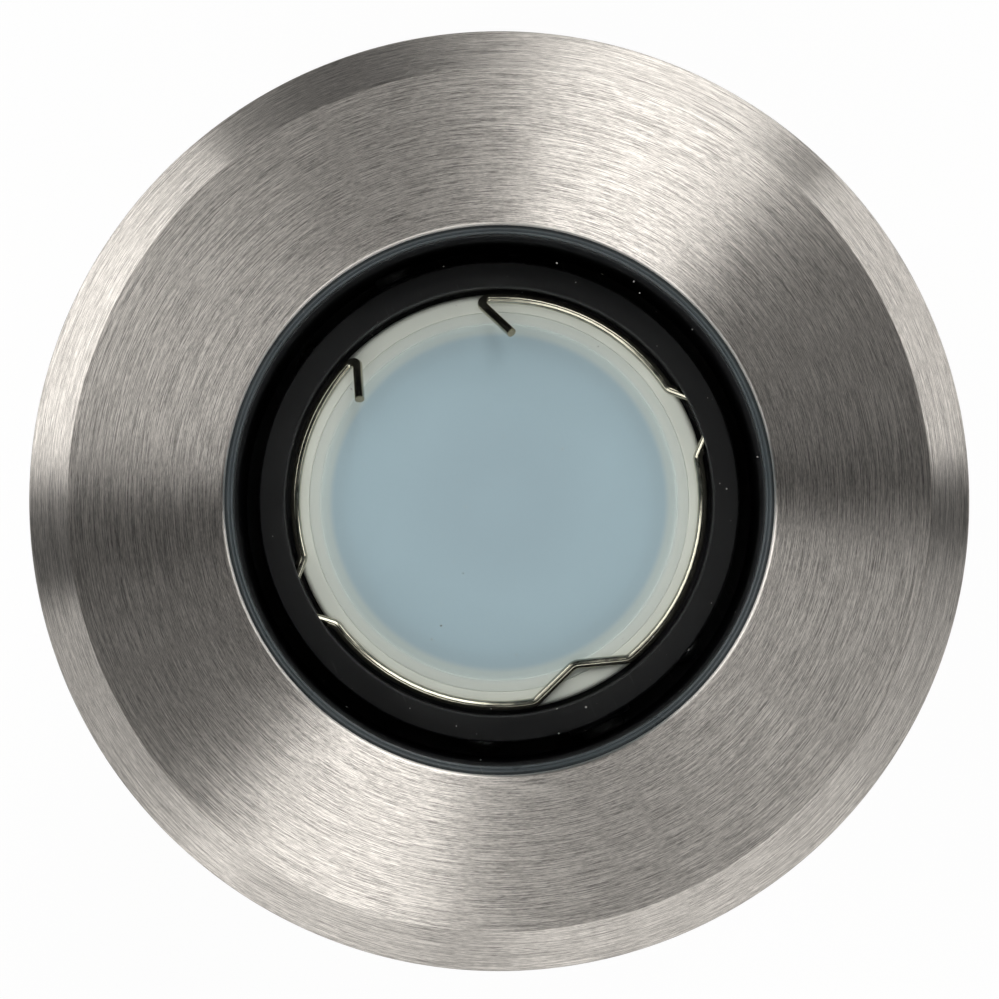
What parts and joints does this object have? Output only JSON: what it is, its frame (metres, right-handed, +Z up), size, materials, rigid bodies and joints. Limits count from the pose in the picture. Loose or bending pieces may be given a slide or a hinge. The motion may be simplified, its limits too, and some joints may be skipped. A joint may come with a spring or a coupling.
{
  "type": "in ground well light",
  "caption": "Round in-ground well light: bevelled steel faceplate and glass over a wire-clipped, tilting lamp, in a sealed housing that lifts out of a ground sleeve.",
  "frame": {"origin": "centre of the sleeve's foot, on the surface it stands on", "axes": "+Z up along the light's own axis; the lamp tilts about Y"},
  "size_m": [0.11, 0.11, 0.15],
  "materials": {
    "brushed_steel": "brushed in circles",
    "stainless_wire": "bright drawn wire",
    "black_housing": "fine moulded matt",
    "carrier_black": "smooth satin",
    "sleeve_grey": "moulded",
    "rubber_black": "matt",
    "gasket_silicone": "satin silicone",
    "glass_clear": "polished",
    "frosted_lens": "frosted",
    "lamp_cream": "smooth",
    "lamp_casting": "cast and coated",
    "zinc_steel": "zinc plated",
    "screw_steel": "bright",
    "bracket_black": "powder coated",
    "circuit_board": "solder mask",
    "led_phosphor": "resin",
    "white_ceramic": "unglazed",
    "brass": "turned",
    "nylon_white": "moulded nylon",
    "nylon_black": "moulded nylon",
    "lead_insulation": "silicone insulation"
  },
  "bodies": {
    "ground_sleeve": {"ground_sleeve": "sleeve_grey"},
    "rim_seal": {"rim_gasket": "rubber_black"},
    "light": {"faceplate": "brushed_steel", "lens_gasket_upper": "gasket_silicone", "glass_lens": "glass_clear", "lens_gasket_lower": "gasket_silicone", "housing": "black_housing", "sleeve_o_ring": "rubber_black", "flange_screws": "screw_steel", "flange_washers": "screw_steel", "gimbal_bracket": "bracket_black", "bracket_screws": "zinc_steel", "terminal_block": "nylon_white", "terminal_sleeves": "brass", "terminal_screws": "zinc_steel", "block_screw": "zinc_steel", "socket_leads": "lead_insulation", "gland_body": "nylon_black", "gland_washer": "rubber_black", "gland_locknut": "nylon_black", "gland_seal": "rubber_black", "gland_cap_nut": "nylon_black"},
    "lamp_carrier": {"lamp_carrier": "carrier_black", "retaining_clip": "stainless_wire", "lamp_bezel": "lamp_cream", "lamp_lens": "frosted_lens", "lamp_body": "lamp_casting", "lamp_led_board": "circuit_board", "lamp_leds": "led_phosphor", "lamp_driver_board": "circuit_board", "lamp_base": "white_ceramic", "lamp_pins": "zinc_steel", "lamp_socket": "white_ceramic", "socket_contacts": "brass", "pivot_screws": "bracket_black", "pivot_washers": "nylon_black"}
  },
  "joints": [
    {"name": "light_swivel", "type": "hinge", "parent": "ground_sleeve", "child": "rim_seal", "pos_m": [0, 0, 0.1435], "axis": [0, 0, 1], "range_deg": [-180, 180]},
    {"name": "light_lift", "type": "slide", "parent": "rim_seal", "child": "light", "axis": [0, 0, 1], "range_m": [0, 0.115]},
    {"name": "lamp_tilt", "type": "hinge", "parent": "light", "child": "lamp_carrier", "pos_m": [0, 0, 0.128], "axis": [0, 1, 0], "range_deg": [-10, 10], "deforming": ["socket_leads"]}
  ]
}
